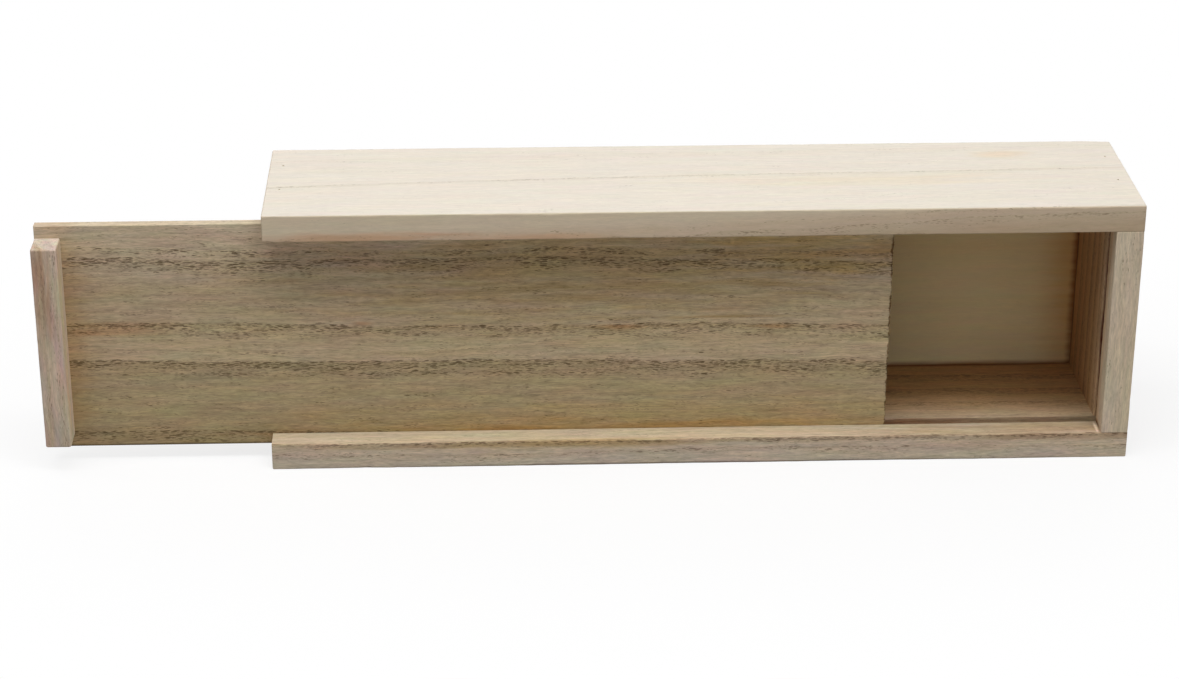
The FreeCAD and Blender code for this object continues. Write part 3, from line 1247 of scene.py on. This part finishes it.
    def closed_end_wood(self) -> Paulownia:
        """Choose the closed end wall's wood, with strong upright rings on its inner face, which is browner,
        partly as painted shade.

        Returns:
            The finish.
        """
        inner = self.length / 2 - self.wall
        return Paulownia(
            "paulownia_planed_closed_end", Axis.Z, Axis.Y, seed=3.7,
            # The bands from -27.5 inwards are browner, partly painted shade for the inside of the box.
            bands=((-35, "cfbea6"), (-29, "cebca1"), (-27.5, "ccb190"), (-10, "b98f63"), (10, "b98b5d"),
                   (28, "b78959")),
            rings=(Ring(-16, 0.7, 5), Ring(-8, 0.8, 5), Ring(1, 0.9, 7), Ring(11, 0.8, 6),
                   Ring(20, 0.8, 7)),
            faces=(Face((1, 0, 0), "cdb99e", 0.45),),
            lean=0.5, surface=inner, ring_tint="765438", ring_amount=0.36, mottling=0.16,
            patches=(
                # Painted shade: a dark line down the lid groove's back wall.
                Patch((149.5, -19.4, 50), (1.3, 1.4, 90), "703c1e"),
                # Painted shade: darkens the inner corner where the wall meets the bottom panel.
                Patch((147.8, 29, 50), (3, 3.4, 90), "a07c5c", 1.0, 0.6),
                Patch((148, -26, 10), (2, 7, 2.2), "8a6648")))

    def open_end_wood(self) -> Paulownia:
        """Choose the open end wall's wood.

        Returns:
            The finish.
        """
        return Paulownia(
            "paulownia_planed_open_end", Axis.Z, Axis.Y, seed=4.9,
            bands=((-20, "cdb99e"), (29, "c9b392")),
            rings=(Ring(-10, 0.6, 5), Ring(8, 0.8, 8), Ring(20, 0.8, 9)),
            lean=0.7, surface=-self.length / 2)

    def bottom_wood(self) -> Paulownia:
        """Choose the bottom panel's wood: plain, very pale and yellowish inside the box, partly as painted
        light and palest low down, and more figured on the back.

        Returns:
            The finish.
        """
        return Paulownia(
            "paulownia_planed_bottom", Axis.X, Axis.Z, seed=5.5,
            # The inner face's pale bands are partly painted light, palest low down where little lamp light
            # reaches.
            bands=((5, "fff2c6"), (25, "fbe8b8"), (60, "dfc694"), (95, "d8c18e")),
            rings=(Ring(38, 0.2, 9), Ring(60, 0.15, 9), Ring(84, 0.2, 9)),
            faces=(Face((0, 1, 0), "cfbc9f", 4.0, 2.6), Face((1, 0, 0), "d8c7a6"),
                   Face((-1, 0, 0), "d8c7a6")),
            lean=0.4, surface=self.depth / 2 - self.panel, ring_amount=0.2, pore_amount=0.2,
            pore_rest=-0.05, fine_amount=0.15, fibre_contrast=0.05, mottling=0.14,
            patches=(
                # Painted shade: darker towards the closed end and into the corners with the end wall and the
                # lower side wall.
                Patch((151, 29, 50), (20, 3, 90), "ead0b0", 1.0, 0.3),
                Patch((148.4, 29, 50), (3, 3, 90), "b08c6a", 1.0, 0.5),
                Patch((110, 29, 9.4), (80, 3, 2.6), "a88464", 1.0, 0.6)))

    def dress(self) -> None:
        """Give each board its wood."""
        for name, wood in self.finishes().items():
            dress_in(self.pieces[name], wood.material())
        log.info("case of %d x %d x %d mm dressed", self.length, self.depth, self.width)


@dataclass
class SlidingLid:
    """The lid panel, drawn out of its grooves, with a batten across its outer end."""

    outer: float = -240.0
    inner: float = 69.6
    front: float = -23.7
    thickness: float = 4.0
    low: float = 5.8
    high: float = 93.2
    ease: float = 0.25
    sawn_ease: float = 0.12
    sawn_depth: float = 0.34
    sawn_slant: float = 0.005
    batten_width: float = 9.2
    batten_front: float = -34.7
    batten_low: float = 10.6
    batten_high: float = 88.5
    batten_ease: float = 0.6
    pin_inset: float = 14.0
    body: str = "lid"
    pieces: dict[str, bpy.types.Object] = field(default_factory=dict)

    def panel(self) -> Board:
        """Draw the lid panel, carried up across its grain so that its sawn inner end can be ragged.

        Returns:
            The lid panel.
        """
        back = self.front + self.thickness
        corners = (
            Corner(self.outer, self.front, self.ease),
            Corner(self.inner, self.front, self.sawn_ease),
            Corner(self.inner, back, self.sawn_ease),
            Corner(self.outer, back, self.ease))
        return Board(
            "lid_board", "lid_panel", "lid_board", Axis.Z, self.low, self.high, corners,
            (0, 2), self.ease, seed=21, nicks=2, step=0.3, sawn_corners=(1, 2),
            sawn_depth=self.sawn_depth, sawn_slant=self.sawn_slant, dents=(
                Dent(1, 8.2, 0.7, 0.5), Dent(1, 11.5, 0.5, 0.4), Dent(1, 17.0, 0.4, 0.6),
                Dent(1, 23.4, 0.5, 0.4), Dent(1, 30.1, 0.4, 0.3), Dent(1, 36.0, 0.5, 0.8),
                Dent(1, 41.2, 0.4, 0.3), Dent(1, 49.5, 0.6, 0.5), Dent(1, 52.6, 0.4, 0.3),
                Dent(1, 60.3, 0.5, 0.4), Dent(1, 66.8, 0.4, 0.5), Dent(1, 73.5, 0.7, 0.4),
                Dent(1, 75.6, 0.6, 0.3), Dent(1, 81.0, 0.5, 0.6), Dent(1, 86.3, 0.8, 0.4)))

    def batten(self) -> Board:
        """Draw the batten that the fingers pull on.

        Returns:
            The batten.
        """
        corners = (
            Corner(self.outer, self.batten_front, self.batten_ease),
            Corner(self.outer + self.batten_width, self.batten_front, self.batten_ease),
            Corner(self.outer + self.batten_width, self.front),
            Corner(self.outer, self.front))
        return Board(
            "batten", "lid_batten", "batten_wood", Axis.Z, self.batten_low, self.batten_high, corners,
            (0, 1, 3), self.batten_ease, seed=22, nicks=2)

    def build(self, fasteners: Fasteners) -> None:
        """Build the panel and the batten with their pins' bores.

        Args:
            fasteners: The sizes of the pins.
        """
        back = self.front + self.thickness
        column = self.outer + self.batten_width / 2
        rows = (self.batten_low + self.pin_inset, self.batten_high - self.pin_inset)
        outline = fasteners.pin_outline(fasteners.batten_pin_length)
        bores = fasteners.bores("batten pins", outline, [(column, back, z) for z in rows], (0, -1, 0))
        cutter = fasteners.cutter("lid_bores", [bores])
        for board in (self.panel(), self.batten()):
            self.pieces[board.name] = board.fit(cutter, self.body)
        bpy.data.objects.remove(cutter)

    def panel_wood(self) -> Paulownia:
        """Choose the lid panel's wood: olive brown, with three fleck rows, a golden lower edge that is partly
        painted light thrown up from the lip, painted shade under the upper wall, and a painted shadow line
        along the lower edge.

        Returns:
            The finish.
        """
        face = self.front
        return Paulownia(
            "paulownia_sanded_lid", Axis.X, Axis.Z, seed=6.2,
            bands=((5, "a5916c"), (12, "aa9671"), (22, "ae9b77"), (36.5, "b19d7a"), (37.5, "bda888"),
                   (51.5, "b9a581"), (52.5, "b8a383"), (65, "b19d7e"), (73, "bca88c"), (79, "c1ac90"),
                   (90, "c2b096")),
            rings=(Ring(80.6, 0.45, 3.4), Ring(77.2, 0.82, 6), Ring(52.4, 0.72, 6), Ring(37.4, 0.8, 8),
                   Ring(8.6, 0.8, 5)),
            drift=-0.014, lean=0.3, surface=face, ring_tint="9a7b56", ring_amount=0.2,
            pore="4c3920", pore_amount=0.74, pore_rest=0.125, fibre_contrast=0.38,
            patches=(
                # Painted shadow: a dark line along the lid's lower edge.
                Patch((-200, face, 5.7), (90, 2, 1.2), "585038", 1.0, 0.4),
                Patch((-20, face, 8), (190, 8, 17), "fff9ec", 1.08),
                # Painted reflected light: a warm, golden glow on the lid just above the lip.
                Patch((-40, face, 6), (140, 8, 9), "fdeccb", 1.02),
                # Painted shade: the upper wall's shadow on the lid, darker and warmer under the wall, in this
                # patch and the next.
                Patch((-44, face, 76), (126, 8, 26), "fbf3d9", 0.93),
                Patch((46, face, 84), (52, 6, 18), "fcf3d4"),
                Patch((-231.5, face, 50), (11, 6, 80), "fcf2e4"),
                Patch((-212, face, 52.5), (20, 5, 3.4), "fdf0e6"),
                Patch((-32, face, 51), (12, 5, 1.6), "f8e2d0"),
                Patch((28, face, 50.4), (11, 5, 1.3), "f8e2d0"),
                Patch((-124, face, 53.5), (5, 5, 1), "fae8dc"),
                Patch((10, face, 54.6), (30, 4, 0.9), "e6dbc8"),
                Patch((10.5, face, 84.2), (0.9, 1, 1.1), "ffffff", 1.3),
                Patch((69.9, face, 50), (0.9, 1.4, 90), "9c8664"),
                Patch((69.0, face, 50), (0.6, 1.4, 120), "8c7a5a", 1.0, 4.0)))

    def batten_wood(self) -> Paulownia:
        """Choose the batten's wood: a little pinker than the panel's, and unevenly handled.

        Returns:
            The finish.
        """
        face = self.batten_front
        return Paulownia(
            "paulownia_sanded_batten", Axis.Z, Axis.X, seed=7.4,
            bands=((-241, "bfa894"), (-236, "c8b4a1"), (-231, "c9b69f")),
            rings=(Ring(-237, 0.5, 3), Ring(-232, 0.4, 3)),
            faces=(Face((1, 0, 0), "dcc8ac"), Face((0, 0, 1), "cfc1ae")),
            lean=0.3, surface=face, end_darkness=0.0, mottling=0.5, pore_amount=0.35,
            patches=(
                Patch((-238, face, 80), (5, 6, 20), "f6ddd0", 0.9),
                Patch((-236, face, 64), (4, 6, 15), "f4e6da", 0.92),
                Patch((-233, face, 40), (4, 6, 22), "ffffff", 1.07)))

    def dress(self) -> None:
        """Give the panel and the batten their wood."""
        dress_in(self.pieces["lid_board"], self.panel_wood().material())
        dress_in(self.pieces["batten"], self.batten_wood().material())
        log.info("lid drawn out to %.0f mm dressed", self.outer)


@dataclass(frozen=True)
class Lamp:
    """A soft rectangular lamp: its place and size in metres, and its power in watts."""

    name: str
    place: Point
    size: tuple[float, float]
    power: float

    def hang(self, aim_height: float) -> None:
        """Make the lamp and turn it to the box's middle.

        Args:
            aim_height: How high above the floor the lamp is aimed, in metres.
        """
        data = bpy.data.lights.new(self.name, "AREA")
        data.shape = "RECTANGLE"
        data.energy = self.power
        data.size, data.size_y = self.size
        made = bpy.data.objects.new(self.name, data)
        bpy.context.scene.collection.objects.link(made)
        made.location = self.place
        aim = made.location.copy()
        aim.z -= aim_height
        made.rotation_euler = aim.to_track_quat("Z", "Y").to_euler()


@dataclass
class Studio:
    """A plain white floor and surround, with soft lamps above, in front and round.

    A long strip above and a little in front is the key. Broad lamps stand by it, and weak ones round.
    Sizes are in metres, apart from floor_half in mm.
    """

    lamps: tuple[Lamp, ...] = (
        Lamp("key", (-0.1, -0.557, 1.663), (2.6, 0.15), 14.0),
        Lamp("overhead", (-0.1, -0.227, 1.737), (2.6, 0.52), 15.0),
        Lamp("slope", (-0.1, -0.87, 1.522), (2.6, 0.6), 9.9),
        Lamp("front", (0.0, -1.711, 0.228), (2.6, 0.25), 2.5),
        Lamp("behind", (0.0, 2.6, 0.9), (2.4, 1.4), 30.0),
        Lamp("left", (-2.6, -0.3, 0.9), (1.6, 1.4), 3.0),
        Lamp("right", (2.6, -0.3, 0.9), (1.6, 1.4), 3.0))
    aim_height: float = 0.05
    floor_half: float = 4000.0
    floor_lit: str = "a8a8a8"
    floor_seen: str = "f2f2f2"
    white_near: float = 0.74
    white_from: float = 0.05
    white_full: float = 0.19
    white_reach: float = 0.42
    surround: float = 0.02

    def floor(self) -> None:
        """Lay the floor: white to the camera, with the box's soft shadow, and pale grey to thrown light.

        To the camera a share of it is plain white. The share is white_near by the box and rises to 1 where
        the floor is farther than white_from to white_full metres from the box's middle, with the distance
        along the box shortened to white_reach of itself.
        """
        half = self.floor_half
        corners = np.array([(-half, -half, 0), (half, -half, 0), (half, half, 0), (-half, half, 0)], float)
        floor = make_object("floor", corners, [[0, 1, 2, 3]])
        material, tree = new_material("studio_floor_white_paper")
        seen = self._seen(tree)
        place = node(tree, "Mapping", {
            "Vector": node(tree, "TexCoord").outputs["Object"], "Scale": (self.white_reach, 1.0, 1.0)})
        far = node(tree, "VectorMath", {0: place.outputs[0]}, operation="LENGTH")
        share = node(tree, "MapRange", {
            0: far.outputs["Value"], 1: self.white_from, 2: self.white_full, 3: self.white_near, 4: 1.0},
            interpolation_type="SMOOTHSTEP").outputs[0]
        share = node(tree, "Math", {0: share, 1: seen}, operation="MULTIPLY").outputs[0]
        colour = node(tree, "Mix", {0: seen, 6: linear(self.floor_lit), 7: linear(self.floor_seen)},
                      data_type="RGBA").outputs[2]
        paper = node(tree, "BsdfDiffuse", {"Color": colour})
        white = node(tree, "Emission", {"Color": WHITE, "Strength": 1.0})
        both = node(tree, "MixShader", {0: share, 1: paper.outputs[0], 2: white.outputs[0]})
        node(tree, "OutputMaterial", {"Surface": both.outputs[0]})
        floor.data.materials.append(material)

    def _seen(self, tree: Tree) -> Socket:
        """Tell a ray that shows a surface from light that is thrown about.

        Args:
            tree: The tree that asks.

        Returns:
            1 for a camera, mirror or see-through ray, and 0 for any other.
        """
        path = node(tree, "LightPath").outputs
        some = node(tree, "Math", {0: path["Is Camera Ray"], 1: path["Is Glossy Ray"]}, operation="MAXIMUM")
        return node(tree, "Math", {0: some.outputs[0], 1: path["Is Transmission Ray"]},
                    operation="MAXIMUM").outputs[0]

    def world(self) -> None:
        """Surround the scene with white, which lights the box only at the surround's own level."""
        world = bpy.data.worlds.new("white_surround")
        bpy.context.scene.world = world
        world.use_nodes = True
        tree = world.node_tree
        tree.nodes.clear()
        lighting = node(tree, "Background", {"Color": WHITE, "Strength": self.surround})
        white = node(tree, "Background", {"Color": WHITE, "Strength": 1.0})
        both = node(tree, "MixShader", {0: self._seen(tree), 1: lighting.outputs[0], 2: white.outputs[0]})
        node(tree, "OutputWorld", {"Surface": both.outputs[0]})

    def build(self) -> None:
        """Build the floor, the lamps and the surround, and keep colours as they are written."""
        self.floor()
        for lamp in self.lamps:
            lamp.hang(self.aim_height)
        self.world()
        bpy.context.scene.view_settings.view_transform = "Standard"
        log.info("studio: %d lamps", len(self.lamps))


@dataclass(frozen=True)
class Viewpoint:
    """The camera at the photograph's place and angle, found from the box's own edges.

    Its place is in mm, its turn in degrees, its lens and sensor in mm and its clipping in metres.
    """

    place: Point = (-77.939, -987.684, 475.254)
    turn: Point = (66.01535, -0.099, -2.14589)
    lens: float = 88.086
    sensor: float = 36.0
    nearest: float = 0.05
    farthest: float = 50.0

    def build(self) -> None:
        """Make the camera and hand it to the scene."""
        data = bpy.data.cameras.new("camera")
        data.lens = self.lens
        data.sensor_width, data.sensor_fit = self.sensor, "HORIZONTAL"
        data.clip_start, data.clip_end = self.nearest, self.farthest
        camera = bpy.data.objects.new("camera", data)
        bpy.context.scene.collection.objects.link(camera)
        camera.location = [v * MM for v in self.place]
        camera.rotation_euler = [math.radians(v) for v in self.turn]
        bpy.context.scene.camera = camera


def main() -> None:
    """Build the studio, the case, the lid and the fasteners in order."""
    logging.basicConfig(level=logging.INFO, format="%(name)s: %(message)s")
    Viewpoint().build()
    Studio().build()
    fasteners = Fasteners()
    case = Case()
    case.build(fasteners)
    case.dress()
    lid = SlidingLid()
    lid.build(fasteners)
    lid.dress()
    fasteners.dress()
    bpy.context.view_layer.update()


if __name__ == "__main__":
    main()
